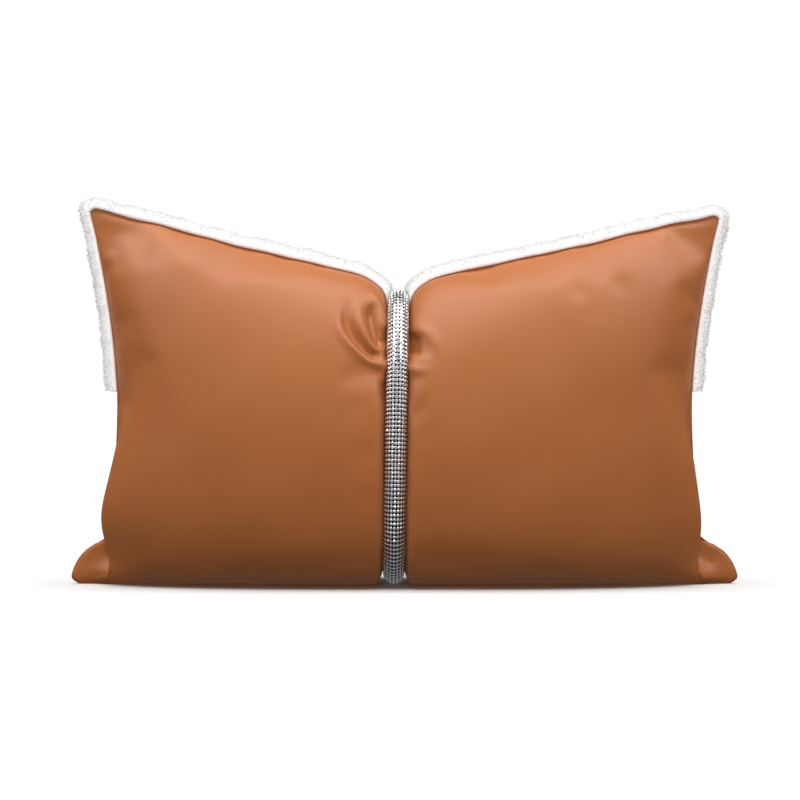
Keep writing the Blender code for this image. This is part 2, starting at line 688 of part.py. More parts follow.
def main():
    clear_scene()
    leather = material("tan_leather", (0.42, 0.15, 0.05), 0.42)
    fur = material("white_fur", (0.86, 0.84, 0.82), 0.95)
    cloth = material("insert_cloth", (0.80, 0.80, 0.78), 0.90)
    fibre = material("polyester_fibre", (0.90, 0.90, 0.90), 0.95)
    tape = material("zip_tape", (0.36, 0.14, 0.06), 0.85)
    teeth = material("zip_teeth", (0.32, 0.12, 0.05), 0.45)
    metal = material("zip_metal", (0.70, 0.70, 0.72), 0.30, 1.0)
    cord = material("black_cord", (0.02, 0.02, 0.02), 0.80)
    net = material("silver_mesh", (0.78, 0.78, 0.80), 0.25, 1.0)
    crystal = material("crystals", (0.90, 0.92, 0.95), 0.05)
    label = material("label_satin", (0.88, 0.88, 0.86), 0.60)
    front_leather_panel(leather)
    back_leather_panel(leather)
    back_fur_panel(fur)
    insert(cloth, fibre)
    zip_fastener(tape, teeth, metal)
    care_label(label)
    crystal_rope(cord, net, crystal, leather)


main()
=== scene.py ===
import json
import math

import bpy
import numpy as np
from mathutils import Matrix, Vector

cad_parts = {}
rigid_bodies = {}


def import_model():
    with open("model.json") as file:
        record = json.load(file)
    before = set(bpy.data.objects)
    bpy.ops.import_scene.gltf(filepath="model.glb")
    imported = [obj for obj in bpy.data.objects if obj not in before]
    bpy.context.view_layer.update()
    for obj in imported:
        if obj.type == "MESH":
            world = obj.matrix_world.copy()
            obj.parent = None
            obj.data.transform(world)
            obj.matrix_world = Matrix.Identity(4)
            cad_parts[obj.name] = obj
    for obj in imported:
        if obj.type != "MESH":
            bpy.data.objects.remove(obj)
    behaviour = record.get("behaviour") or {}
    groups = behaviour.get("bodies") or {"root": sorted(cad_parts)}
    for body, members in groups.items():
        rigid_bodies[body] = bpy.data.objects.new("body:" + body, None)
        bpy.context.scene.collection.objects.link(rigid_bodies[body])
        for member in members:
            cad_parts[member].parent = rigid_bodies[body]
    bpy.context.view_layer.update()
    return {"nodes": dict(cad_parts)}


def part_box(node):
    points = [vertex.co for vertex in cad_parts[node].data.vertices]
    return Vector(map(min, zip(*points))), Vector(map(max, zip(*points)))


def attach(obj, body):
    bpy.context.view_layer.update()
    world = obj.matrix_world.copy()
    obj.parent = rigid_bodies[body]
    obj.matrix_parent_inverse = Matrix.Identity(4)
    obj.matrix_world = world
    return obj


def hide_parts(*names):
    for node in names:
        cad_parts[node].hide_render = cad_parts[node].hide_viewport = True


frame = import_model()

for node in frame["nodes"].values():
    node.data.materials.clear()

# ---------------------------------------------------------------- studio
# A white table and a white wall. A wide soft box overhead leaves the pillow's lower half darker. With it are
# a low fill in front, lamps at the shoulders and the sides, the fur's own two and a wash for the table alone.
# The camera stands straight in front.

scene = bpy.context.scene
scene.view_settings.view_transform = "Standard"
front_low, front_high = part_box("front_leather_panel")
FIELD_WIDTH = 0.6016  # of what the camera sees at the pillow
CAMERA_AWAY = 2.0
CAMERA_RISE = math.radians(1.0)
AIM = Vector((-0.0034, 0, front_high.z / 2 - 0.0013))
camera_data = bpy.data.cameras.new("camera")
camera_data.lens = camera_data.sensor_width * CAMERA_AWAY / FIELD_WIDTH
camera = bpy.data.objects.new("camera", camera_data)
camera.location = AIM + CAMERA_AWAY * Vector((0, -math.cos(CAMERA_RISE), math.sin(CAMERA_RISE)))
camera.rotation_euler = (math.radians(90) - CAMERA_RISE, 0, 0)
scene.collection.objects.link(camera)
scene.camera = camera

world = bpy.data.worlds.new("studio")
world.use_nodes = True
world_nodes, world_links = world.node_tree.nodes, world.node_tree.links
world_nodes["Background"].inputs["Color"].default_value = (1, 1, 1, 1)
ray = world_nodes.new("ShaderNodeLightPath")
brightness = world_nodes.new("ShaderNodeMapRange")
brightness.inputs["To Min"].default_value = 0.13  # what lights the pillow
brightness.inputs["To Max"].default_value = 1.05  # what shows behind it
world_links.new(ray.outputs["Is Camera Ray"], brightness.inputs["Value"])
world_links.new(brightness.outputs["Result"], world_nodes["Background"].inputs["Strength"])
scene.world = world

off_table = bpy.data.collections.new("off_table")  # what most of the lamps don't light
off_table_and_fur = bpy.data.collections.new("off_table_and_fur")
fur_only = bpy.data.collections.new("fur_only")


def leave_out(group, piece):
    """Keeps the lamps of that group off the piece."""
    group.objects.link(piece)
    group.collection_objects[len(group.objects) - 1].light_linking.link_state = "EXCLUDE"


def soft_box(name, place, aim, width, height, watts, lights=off_table):
    light = bpy.data.lights.new(name, "AREA")
    light.shape = "RECTANGLE"
    light.size, light.size_y, light.energy = width, height, watts
    lamp = bpy.data.objects.new(name, light)
    lamp.location = place
    lamp.rotation_euler = (Vector(aim) - Vector(place)).to_track_quat("-Z", "Y").to_euler()
    lamp.light_linking.receiver_collection = lights
    scene.collection.objects.link(lamp)
    return lamp


soft_box("overhead", (0, -0.34, 1.30), (0, 0, 0.1), 1.7, 1.0, 20, off_table_and_fur)
soft_box("front_fill", (0, -1.9, 0.16), (0, 0, 0.08), 1.5, 0.3, 10, off_table_and_fur).visible_glossy = False
soft_box("behind", (0, 1.8, 0.5), (0, 0, 0.12), 1.4, 0.7, 11)
soft_box("fur_key", (0, -1.7, 0.45), (0, 0, 0.2), 2.0, 0.6, 29, fur_only)
soft_box("fur_top", (0, -0.2, 1.30), (0, 0, 0.2), 1.7, 0.8, 7, fur_only)
for way in (-1, 1):
    soft_box("shoulder", (way * 1.15, -0.55, 0.95), (way * 0.16, 0, 0.17), 0.40, 0.40, 2.8, off_table_and_fur)
    glow_place, glow_aim = (way * 0.63, -0.61, 0.85), (way * 0.154, -0.06, 0.176)
    glow = soft_box("glow", glow_place, glow_aim, 0.22, 0.22, 2.0, off_table_and_fur)
    glow.visible_diffuse = False
    soft_box("side_panel", (way * 0.9, 0.30, 0.22), (0, 0, 0.12), 0.20, 0.7, 2.0).visible_glossy = False

floor_mesh = bpy.data.meshes.new("floor")
floor_mesh.from_pydata([(-1.6, -2.2, 0), (1.6, -2.2, 0), (1.6, 0.7, 0), (-1.6, 0.7, 0)], [], [(0, 1, 2, 3)])
floor = bpy.data.objects.new("floor", floor_mesh)
floor_finish = bpy.data.materials.new("white_table")
floor_finish.use_nodes = True
floor_shader = floor_finish.node_tree.nodes["Principled BSDF"]
floor_shader.inputs["Base Color"].default_value = (0.93, 0.93, 0.93, 1)
floor_shader.inputs["Roughness"].default_value = 0.7
floor_shader.inputs["Specular IOR Level"].default_value = 0.1
floor_mesh.materials.append(floor_finish)
scene.collection.objects.link(floor)
floor.visible_diffuse = floor.visible_glossy = False
leave_out(off_table, floor)
leave_out(off_table_and_fur, floor)
table_only = bpy.data.collections.new("table_only")
table_only.objects.link(floor)
sun = bpy.data.lights.new("table_wash", "SUN")
sun.energy, sun.angle = 3.3, math.radians(38)
wash = bpy.data.objects.new("table_wash", sun)
wash.light_linking.receiver_collection = table_only
scene.collection.objects.link(wash)

# ---------------------------------------------------------------- front leather panel
# One cut panel of tan faux leather, 1.2 mm thick, sewn to the back panels right sides together and turned.
# The insert fills it out, the rope ties it in at the middle, and its two lower corners are left as flat ears.

GAP = 0.0003
LEATHER = 0.0012
LOW_TIPS = front_high.x - front_low.x
FRONT_DEPTH = -front_low.y - 0.0026
BACK_DEPTH = 0.0597
LOW_BODY, WAIST, TOP_CORNERS = 0.448, 0.433, 0.473  # widths
CORNER_HEIGHT, SADDLE_HEIGHT, WAIST_HEIGHT, EAR_HEIGHT = 0.280, 0.2265, 0.146, 0.0345
HIP_HEIGHT, HIP_SWELL, LEFT_HIP = 0.048, 0.0014, 0.0054  # the belly stands out most just above the ears
BELLY_SWELL = 0.0056
ARCH, BELLY_LIFT = 0.0040, 0.0022  # the rope lifts the middle of the base, and the ears carry the rest
CORNER_TILT = 0.0027  # the left corner stands higher than the right
CORNER_ROUNDING = 0.0055
FULLEST = 0.38  # height of the fullest point, as a share of the height there
SEAM_TUCK = 0.0055  # how far the side seam is drawn in behind the belly
LIP = 0.0013  # the turned seam that stands past the stuffed body
FLOOR_FLAT = 0.0024
ROPE_RADIUS, ROPE_SINK, ROPE_TOP = 0.0082, 0.0155, 0.2218
ROPE_X_LOW, ROPE_X_HIGH = -0.0083, -0.0045
NOTCH_DEPTH, NOTCH_REACH = 0.0195, 0.015
GROOVE_HALF_WIDTH = 0.0091
ZIP_HEIGHT, ZIP_HALF_SLOT, ZIP_SURFACE, ZIP_OPENING = 0.144, 0.15235, 0.0525, 0.0084  # flat along it
FRONT, BACK = -1, 1
DEPTH = {FRONT: FRONT_DEPTH, BACK: BACK_DEPTH}


def smooth_step(low, high, value):
    share = np.clip((value - low) / (high - low), 0, 1)
    return share * share * (3 - 2 * share)


def half_width(z):
    above = np.clip((z - WAIST_HEIGHT) / (CORNER_HEIGHT - WAIST_HEIGHT), 0, 1.1)
    below = smooth_step(0, 0.72, (WAIST_HEIGHT - z) / WAIST_HEIGHT)
    hip = HIP_SWELL * np.exp(-(((z - HIP_HEIGHT) / 0.020) ** 2))
    return (WAIST + (TOP_CORNERS - WAIST) * above**1.6 + (LOW_BODY - WAIST) * below) / 2 + hip


def ear(z):
    toe = 1 - 0.24 * np.clip(1 - z / 0.006, 0, 1) ** 2
    return (LOW_TIPS - LOW_BODY) / 2 * (1 - np.clip(z / EAR_HEIGHT, 0, 1) ** 2) ** 0.72 * toe


def rope_x(z):
    return ROPE_X_LOW + (ROPE_X_HIGH - ROPE_X_LOW) * z / ROPE_TOP


def top_edge(x):
    share = np.abs(x) / (TOP_CORNERS / 2)
    saddle = SADDLE_HEIGHT + (CORNER_HEIGHT - SADDLE_HEIGHT) * share**1.15 - CORNER_TILT * x / 0.2365 * share
    ripple = 0.0005 * np.sin(x * 71 + 1.3) + 0.0004 * np.sin(x * 163)
    beside = np.abs(x - rope_x(SADDLE_HEIGHT)) / NOTCH_REACH
    corner = CORNER_ROUNDING * np.clip((np.abs(x) - TOP_CORNERS / 2) / CORNER_ROUNDING + 1, 0, 1.3) ** 2.2
    return saddle + ripple * share - corner - NOTCH_DEPTH * np.exp(-(beside**1.5))


def section(t, low_power=2.8, high_power=1.8):
    angle = math.pi * (t - 0.5)
    sine, cosine = np.abs(np.sin(angle)), np.clip(np.cos(angle), 0, 1)
    low = FULLEST * (1 - sine ** (2 / low_power))
    high = FULLEST + (1 - FULLEST) * sine ** (2 / high_power)
    swell = np.where(t < 0.5, cosine ** (2 / low_power), cosine ** (2 / high_power))
    return np.where(t < 0.5, low, high), swell


def rope_line(side, t):
    """Places of the rope's middle, t of the way up the front or the back, as (y, z)."""
    rise, swell = section(t, 2.8, 2.1)
    depth = DEPTH[side] - ROPE_SINK + ROPE_RADIUS + GAP
    low, high = ROPE_RADIUS + GAP, ROPE_TOP - ROPE_RADIUS
    return np.stack([side * depth * swell, low + rise * (high - low)], -1)


def rope_floor(side, t, under):
    """(y, z) of what lies under the rope, a distance under its middle."""
    here = rope_line(side, t)
    along = rope_line(side, np.clip(t + 1e-3, 0, 1)) - rope_line(side, np.clip(t - 1e-3, 0, 1))
    along /= np.linalg.norm(along, axis=-1, keepdims=True)
    out = np.stack([along[..., 1], -along[..., 0]], -1) * side
    return here - out * np.asarray(under)[..., None]


def cover(side, s, e, t, lip, inset=0.0, pressed=0.0):
    """The cover's outer face. Shares: s of the half width, e of the ear, t of the way up, lip of the seam."""
    s, e, t, lip = np.broadcast_arrays(s, e, t, lip)
    share = np.abs(s)
    rise, swell = section(t)
    edge = share**8
    climb = (1 - edge) * rise + edge * t
    nominal = climb * CORNER_HEIGHT
    half = half_width(nominal) - inset
    drawn_in = SEAM_TUCK * (1 - 0.75 * smooth_step(0.05, 0.16, nominal)) * smooth_step(0.004, 0.018, nominal)
    flap = ear(nominal) + drawn_in * (1 - smooth_step(0.025, 0.036, nominal)) + LIP
    out = BELLY_SWELL * smooth_step(0.16, 0.09, nominal)
    out = out + LEFT_HIP * (s < 0) * np.exp(-(((nominal - 1.15 * HIP_HEIGHT) / 0.035) ** 2))
    tucked = smooth_step(0.955, 1, share)
    out = out * smooth_step(0.4, 0.95, share) * (1 - tucked)
    x = s * (half + out - drawn_in * tucked) + np.sign(s) * e * flap
    top = top_edge(x) - inset
    z = inset + climb * (top - inset)
    depth = (DEPTH[side] - inset) * (1 - share**3) ** 0.55 * swell
    z = np.maximum(inset, z - FLOOR_FLAT * (1 - rise) ** 2 * (1 - edge))
    lift = ARCH * (1 - smooth_step(0.0, 0.85, share)) + BELLY_LIFT * (1 - smooth_step(0.75, 0.95, share))
    z = z + lift * (1 - climb) ** 8 * smooth_step(0, 0.03, t) * (side == FRONT)
    stout = (LEATHER + GAP / 2) * np.where((e >= 1) | (lip >= 1), 0.12, 1)
    roll = 0.0016 * (1 - np.abs(2 * t - 1) ** 40) * (1 - e**4) * (1 - lip)
    low_down = smooth_step(0.024, 0.008, nominal) * smooth_step(0, 0.004, nominal)
    roll = roll + 0.0075 * (1 - e) ** 2 * share**20 * low_down
    away = depth + stout + roll
    if side == BACK:
        beside = np.abs(z - ZIP_HEIGHT) - 0.0146
        past = np.abs(x) - ZIP_HALF_SLOT - 0.009
        flat = (1 - smooth_step(0, 0.034, beside)) * (1 - smooth_step(0, 0.034, past)) * (e == 0)
        away = away + (ZIP_SURFACE - inset - away) * flat
    floor = rope_floor(side, t, ROPE_RADIUS + GAP + inset + pressed * smooth_step(0.115, 0.139, z))
    press = np.exp(-(((x - rope_x(z)) / (GROOVE_HALF_WIDTH + inset)) ** 4))
    away = away + (np.minimum(side * floor[..., 0], away) - away) * press
    z = z + (floor[..., 1] - z) * press + lip * LIP
    return np.stack([x, side * np.maximum(away, GAP / 2), z], -1)


def even_steps(line, spacing):
    """Shares along a line at which its points stand a distance apart, which may change along it."""
    length = np.linalg.norm(np.diff(line, axis=0), axis=1)
    count = np.concatenate([[0], np.cumsum(length / (spacing[1:] + spacing[:-1]) * 2)])
    total = max(4, int(round(count[-1])))
    return np.interp(np.linspace(0, count[-1], total + 1), count, np.linspace(0, 1, len(line)))


def grid_lines(side, fine, coarse, low=0.0, high=1.0):
    """(s, e) of the columns and (t, lip) of the rows, closer together where the rope draws folds."""
    probe = np.linspace(0, 1, 3001)
    plan = cover(side, probe, 0.0, 0.42, 0.0)[:, :2]
    near_rope = smooth_step(0.055, 0.085, plan[:, 0])
    half = even_steps(plan, fine + (coarse - fine) * near_rope)
    outer = np.linspace(0, 1, 10)[1:]
    s = np.concatenate([-np.ones(9), -half[::-1], half[1:], np.ones(9)])
    e = np.concatenate([outer[::-1], np.zeros(2 * len(half) - 1), outer])
    up = low + (high - low) * probe
    side_line = cover(side, 0.35, 0.0, up, 0.0)[:, 1:]
    upper = smooth_step(0.13, 0.17, side_line[:, 1])
    t = low + (high - low) * even_steps(side_line, coarse + (fine * 1.25 - coarse) * upper)
    lip = np.zeros(len(t))
    if high == 1.0:
        t, lip = np.append(t, [1, 1, 1]), np.append(lip, [0.45, 0.9, 1.0])
    return s, e, t, lip


def facing_out(grid, side):
    across, up = np.gradient(grid, axis=1), np.gradient(grid, axis=0)
    out = np.cross(across, up) * -side
    return out / np.maximum(np.linalg.norm(out, axis=-1, keepdims=True), 1e-12)


def new_mesh(name, points, faces, finish):
    mesh = bpy.data.meshes.new(name)
    mesh.from_pydata(np.asarray(points).reshape(-1, 3).tolist(), [], faces)
    mesh.update()
    mesh.shade_smooth()
    mesh.materials.append(finish)
    piece = bpy.data.objects.new(name, mesh)
    scene.collection.objects.link(piece)
    return piece


def grid_faces(rows, cols, start=0, flip=False):
    at = start + np.arange(rows * cols).reshape(rows, cols)
    quads = np.stack([at[:-1, :-1], at[:-1, 1:], at[1:, 1:], at[1:, :-1]], -1).reshape(-1, 4)
    return (quads[:, ::-1] if flip else quads).tolist()


def closed_shell(name, outer, inner, side, finish):
    """A sheet with two faces and its edges, all one closed mesh."""
    rows, cols = outer.shape[:2]
    count = rows * cols
    faces = grid_faces(rows, cols, 0, side == BACK) + grid_faces(rows, cols, count, side == FRONT)
    at = np.arange(count).reshape(rows, cols)
    ring = [*at[0], *at[1:, -1], *at[-1, -2::-1], *at[-2:0:-1, 0]]
    for one, other in zip(ring, ring[1:] + ring[:1]):
        quad = (one, one + count, other + count, other)
        faces.append(quad if side == FRONT else quad[::-1])
    return new_mesh(name, np.concatenate([outer.reshape(-1, 3), inner.reshape(-1, 3)]), faces, finish)


def inside_of(outer, side, thickness):
    inner = outer - facing_out(outer, side) * thickness
    inner[..., 1] = side * np.maximum(side * inner[..., 1], GAP / 2)
    inner[..., 2] = np.maximum(inner[..., 2], thickness * 0.6)
    return inner


def finish_of(name, colour, roughness, metallic=0.0, specular=0.5):
    """A new material, with its nodes and links, its shader and its object coordinates."""
    made = bpy.data.materials.new(name)
    made.use_nodes = True
    nodes, links = made.node_tree.nodes, made.node_tree.links
    shader = nodes["Principled BSDF"]
    shader.inputs["Base Color"].default_value = (*colour, 1)
    shader.inputs["Roughness"].default_value = roughness
    shader.inputs["Metallic"].default_value = metallic
    shader.inputs["Specular IOR Level"].default_value = specular
    place = nodes.new("ShaderNodeTexCoord").outputs["Object"]
    return made, nodes, links, shader, place


def noise(nodes, links, place, scale, detail):
    made = nodes.new("ShaderNodeTexNoise")
    made.inputs["Scale"].default_value = scale
    made.inputs["Detail"].default_value = detail
    links.new(place, made.inputs["Vector"])
    return made.outputs["Fac"]


def ramp(nodes, links, value, stops):
    made = nodes.new("ShaderNodeValToRGB")
    line = made.color_ramp
    line.elements[0].position, line.elements[0].color = stops[0][0], (*stops[0][1], 1)
    line.elements[1].position, line.elements[1].color = stops[-1][0], (*stops[-1][1], 1)
    for where, colour in stops[1:-1]:
        line.elements.new(where).color = (*colour, 1)
    links.new(value, made.inputs["Fac"])
    return made.outputs["Color"]


def bump(nodes, links, shader, height, distance, strength, before=None):
    made = nodes.new("ShaderNodeBump")
    made.inputs["Distance"].default_value = distance
    made.inputs["Strength"].default_value = strength
    links.new(height, made.inputs["Height"])
    if before:
        links.new(before, made.inputs["Normal"])
    links.new(made.outputs["Normal"], shader.inputs["Normal"])
    return made.outputs["Normal"]


def leather_finish(name):
    """Tan faux leather: a fine pebbled grain, a soft satin top coat and a slight unevenness of the dye."""
    made, nodes, links, shader, place = finish_of(name, (0.45, 0.150, 0.042), 0.46, specular=0.42)
    cloud = noise(nodes, links, place, 9, 3)
    tone = ramp(nodes, links, cloud, [(0.3, (0.440, 0.136, 0.034)), (0.7, (0.480, 0.155, 0.042))])
    links.new(tone, shader.inputs["Base Color"])
    shine = nodes.new("ShaderNodeMapRange")
    shine.inputs["To Min"].default_value, shine.inputs["To Max"].default_value = 0.42, 0.52
    links.new(noise(nodes, links, place, 240, 3), shine.inputs["Value"])
    links.new(shine.outputs["Result"], shader.inputs["Roughness"])
    pebble = nodes.new("ShaderNodeTexVoronoi")
    pebble.inputs["Scale"].default_value = 900
    links.new(place, pebble.inputs["Vector"])
    grain = bump(nodes, links, shader, pebble.outputs["Distance"], 0.00010, 0.35)
    bump(nodes, links, shader, noise(nodes, links, place, 130, 5), 0.00022, 0.30, grain)
    shader.inputs["Coat Weight"].default_value = 0.08
    shader.inputs["Coat Roughness"].default_value = 0.35
    return made


leather = leather_finish("tan_faux_leather")
lines = grid_lines(FRONT, 0.0011, 0.0027)
s_front, e_front, t_front, lip_front = lines
front_face = cover(FRONT, s_front[None], e_front[None], t_front[:, None], lip_front[:, None])


def billowed(lines):
    """How far the stuffing pushes each place of the front from its cut shape, found by settling a cloth.

    The border and the line under the rope are held. The cloth is 2 % slack, so it puckers beside them.
    """
    settling, most = 20, 0.004
    s, e, t, lip = grid_lines(FRONT, 0.0040, 0.0046)
    start = cover(FRONT, s[None], e[None], t[:, None], lip[:, None])
    rows, cols = start.shape[:2]
    cloth = new_mesh("cloth_trial", start, grid_faces(rows, cols), leather)
    held = (np.abs(start[..., 0] - rope_x(start[..., 2])) < 0.0105) | (e[None] > 0) | (lip[:, None] > 0)
    held[0] = True
    pins = cloth.vertex_groups.new(name="sewn")
    pins.add(np.flatnonzero(held.ravel()).tolist(), 1.0, "REPLACE")
    push = cloth.modifiers.new("stuffing", "CLOTH")
    push.settings.quality = 6
    push.settings.mass = 0.5
    push.settings.tension_stiffness = push.settings.compression_stiffness = 25
    push.settings.bending_stiffness = 6
    push.settings.shrink_min = -0.02
    push.settings.use_pressure = True
    push.settings.uniform_pressure_force = 4
    push.settings.vertex_group_mass = "sewn"
    push.settings.effector_weights.gravity = 0
    push.point_cache.frame_end = settling
    for step in range(1, settling + 1):
        scene.frame_set(step)
    settled = cloth.evaluated_get(bpy.context.evaluated_depsgraph_get()).to_mesh()
    moved = np.empty(rows * cols * 3, np.float32)
    settled.vertices.foreach_get("co", moved)
    bpy.data.objects.remove(cloth)
    scene.frame_set(1)
    moved = moved.reshape(rows, cols, 3) - start
    size = np.linalg.norm(moved, axis=-1, keepdims=True)
    moved *= np.minimum(1, most / np.maximum(size, 1e-9))
    to_s, to_e, to_t, to_lip = lines
    wide = np.stack([[np.interp(to_s + np.sign(to_s) * to_e, s + np.sign(s) * e, row[:, k]) for k in range(3)]
                     for row in moved])
    full = np.stack([[np.interp(to_t + to_lip, t + lip, wide[:, k, c]) for c in range(len(to_s))]
                     for k in range(3)])
    full = np.transpose(full, (2, 1, 0))
    for _ in range(4):
        full[1:-1] = (full[:-2] + 2 * full[1:-1] + full[2:]) / 4
        full[:, 1:-1] = (full[:, :-2] + 2 * full[:, 1:-1] + full[:, 2:]) / 4
    return full


def wavy(points, size, seed):
    """Smooth unevenness from -1 to 1 at each point, with bumps about that size."""
    dice = np.random.default_rng(seed)
    total = 0
    for _ in range(7):
        way = dice.normal(size=3)
        way *= 2 * math.pi / size / np.linalg.norm(way) * dice.uniform(0.6, 1.5)
        total = total + np.sin(points @ way + dice.uniform(0, 6.3))
    return total / 3.2


def fold(points, route, height, width, fade_in, fade_out):
    """A ridge, or a valley where height is below 0, along a smooth route of (x, z) points."""
    route = np.array(route, float)
    knots = np.linspace(0, 1, len(route))
    walk = np.linspace(0, 1, 60)
    line = np.stack([np.interp(walk, knots, route[:, k]) for k in (0, 1)], -1)
    for _ in range(30):
        line[1:-1] = (line[:-2] + 2 * line[1:-1] + line[2:]) / 4
    amount = np.zeros(points.shape[:2])
    low, high = line.min(0) - 4 * width, line.max(0) + 4 * width
    flat = points[..., [0, 2]]
    near = ((flat > low) & (flat < high)).all(-1)
    distance = np.linalg.norm(flat[near][:, None] - line[None], axis=-1)
    along = walk[distance.argmin(1)]
    rising = smooth_step(0, max(fade_in, 1e-3), along + (fade_in == 0))
    falling = smooth_step(0, max(fade_out, 1e-3), 1 - along + (fade_out == 0))
    amount[near] = height * rising * falling * np.exp(-((distance.min(1) / width) ** 2))
    return amount


front_face = front_face + 0.6 * billowed(lines)
GATHERS = (  # route from the outer end to the rope, height, half width, fade at each end
    (((-0.0520, 0.2090), (-0.0500, 0.1960), (-0.0443, 0.1846), (-0.0350, 0.1760), (-0.0240, 0.1665),
      (-0.0150, 0.1640)), 0.0026, 0.0040, 0.6, 0.0),
    (((-0.0400, 0.2210), (-0.0432, 0.2019), (-0.0405, 0.1900), (-0.0330, 0.1800), (-0.0245, 0.1720),
      (-0.0160, 0.1690)), -0.0050, 0.0038, 0.35, 0.2),
    (((-0.0327, 0.2180), (-0.0350, 0.2019), (-0.0297, 0.1869), (-0.0256, 0.1786), (-0.0165, 0.1735)),
     0.0022, 0.0034, 0.4, 0.2),
    (((-0.0250, 0.2130), (-0.0244, 0.2040), (-0.0225, 0.1944), (-0.0190, 0.1839), (-0.0150, 0.1770)),
     -0.0066, 0.0042, 0.3, 0.2),
    (((-0.0256, 0.2222), (-0.0199, 0.2094), (-0.0162, 0.1960), (-0.0150, 0.1880)), 0.0022, 0.0030, 0.3, 0.3),
    (((-0.0200, 0.1560), (-0.0155, 0.1480), (-0.0150, 0.1300)), -0.0016, 0.0040, 0.4, 0.5),
    (((0.0075, 0.1900), (0.0060, 0.1800), (0.0062, 0.1700)), -0.0050, 0.0050, 0.3, 0.25),
    (((0.0030, 0.1935), (0.0100, 0.1930), (0.0190, 0.1880), (0.0230, 0.1780), (0.0205, 0.1670)),
     0.0016, 0.0042, 0.3, 0.4),
    (((0.0040, 0.1630), (0.0090, 0.1605), (0.0150, 0.1605), (0.0210, 0.1660)), 0.0024, 0.0040, 0.0, 0.9),
    (((0.0120, 0.1850), (0.0150, 0.1760), (0.0135, 0.1680)), -0.0012, 0.0055, 0.4, 0.4),
    (((0.1240, 0.2330), (0.1290, 0.2180), (0.1330, 0.2080)), -0.0012, 0.0080, 0.4, 0.6),
    (((0.1560, 0.2380), (0.1590, 0.2230), (0.1640, 0.2120)), -0.0010, 0.0075, 0.4, 0.6),
    (((-0.1500, 0.2500), (-0.1400, 0.2350), (-0.1300, 0.2150)), -0.0010, 0.0100, 0.4, 0.6),
    (((-0.2130, 0.1580), (-0.2090, 0.1420), (-0.2120, 0.1260)), -0.0022, 0.0045, 0.4, 0.4),
    (((-0.2400, 0.0030), (-0.2320, 0.0060), (-0.2200, 0.0040)), -0.0014, 0.0022, 0.4, 0.4),
    (((0.2330, 0.0250), (0.2300, 0.0170), (0.2260, 0.0110)), -0.0016, 0.0035, 0.4, 0.4),
)
gathered = sum(fold(front_face, *gather) for gather in GATHERS)
inner_part = smooth_step(0, 0.06, np.minimum(t_front, 1 - t_front))[:, None]
inner_part = inner_part * (1 - np.abs(s_front[None]) ** 16)
gathered = gathered + 0.00045 * wavy(front_face, 0.085, 7) * inner_part
front_face = front_face + facing_out(front_face, FRONT) * gathered[..., None]
front_face[..., 2] = np.maximum(front_face[..., 2], 0)
front_panel = closed_shell("leather_front", front_face, inside_of(front_face, FRONT, LEATHER), FRONT, leather)
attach(front_panel, "pillow")
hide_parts("front_leather_panel")

# ---------------------------------------------------------------- back leather panel
# The lower half of the back, cut from the same leather. Its upper edge is folded in, laid on the zip's lower
# tape and held by one row of top stitching, 3.5 mm from the fold.


def slot_level(way, x):
    closed = smooth_step(ZIP_HALF_SLOT, ZIP_HALF_SLOT + 0.010, np.abs(x))
    return ZIP_HEIGHT + way * (ZIP_OPENING / 2 * (1 - closed) + GAP / 2 * closed)


def share_at_slot(s, e, way):
    """How far up each column of the back meets the zip's opening."""
    t = np.linspace(0.2, 0.7, 501)
    points = cover(BACK, s[None], e[None], t[:, None], 0.0)
    above = points[..., 2] - slot_level(way, points[..., 0])
    return np.array([np.interp(0, above[:, k], t) for k in range(len(s))])


s_back, e_back, t_low, _ = grid_lines(BACK, 0.0016, 0.0034, high=0.46)
rows_low = t_low[:, None] / t_low[-1] * share_at_slot(s_back, e_back, -1)[None]
back_face = cover(BACK, s_back[None], e_back[None], rows_low, 0.0)
back_panel = closed_shell("leather_back_lower", back_face, inside_of(back_face, BACK, LEATHER), BACK, leather)
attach(back_panel, "pillow")
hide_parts("back_leather_panel")

STITCH_LENGTH, STITCH_PITCH, THREAD_RADIUS, STITCH_INSET = 0.0026, 0.0033, 0.00022, 0.0035
thread, nodes, links, shader, place = finish_of("stitching_thread", (0.40, 0.13, 0.04), 0.55)
twist = nodes.new("ShaderNodeTexWave")
twist.bands_direction = "DIAGONAL"
twist.inputs["Scale"].default_value = 900
links.new(place, twist.inputs["Vector"])
bump(nodes, links, shader, twist.outputs["Fac"], 0.00005, 0.6)


def bars(name, starts, ends, outs, radius, finish):
    """Short round threads between pairs of points, arched a little out of the cloth, with tapered ends."""
    rings, sides, arch = 5, 6, 0.6
    starts, ends, outs = (np.asarray(a, float) for a in (starts, ends, outs))
    along = ends - starts
    across = np.cross(along, outs)
    across /= np.linalg.norm(across, axis=-1, keepdims=True)
    points = []
    for share in np.linspace(0, 1, rings):
        swell = math.sin(math.pi * share) ** 0.6
        middle = starts + along * share + outs * radius * (arch * 2 * swell - 0.9)
        for k in range(sides):
            turn = 2 * math.pi * k / sides
            ring = across * math.cos(turn) + outs * math.sin(turn)
            points.append(middle + ring * radius * (0.35 + 0.65 * swell))
    points = np.stack(points, 1).reshape(-1, 3)
    one = []
    for r in range(rings - 1):
        for k in range(sides):
            a, b = r * sides + k, r * sides + (k + 1) % sides
            one.append((a, b, b + sides, a + sides))
    one += [tuple(range(sides))[::-1], tuple(range((rings - 1) * sides, rings * sides))]
    faces = [tuple(n * rings * sides + i for i in face) for n in range(len(starts)) for face in one]
    return new_mesh(name, points, faces, finish)


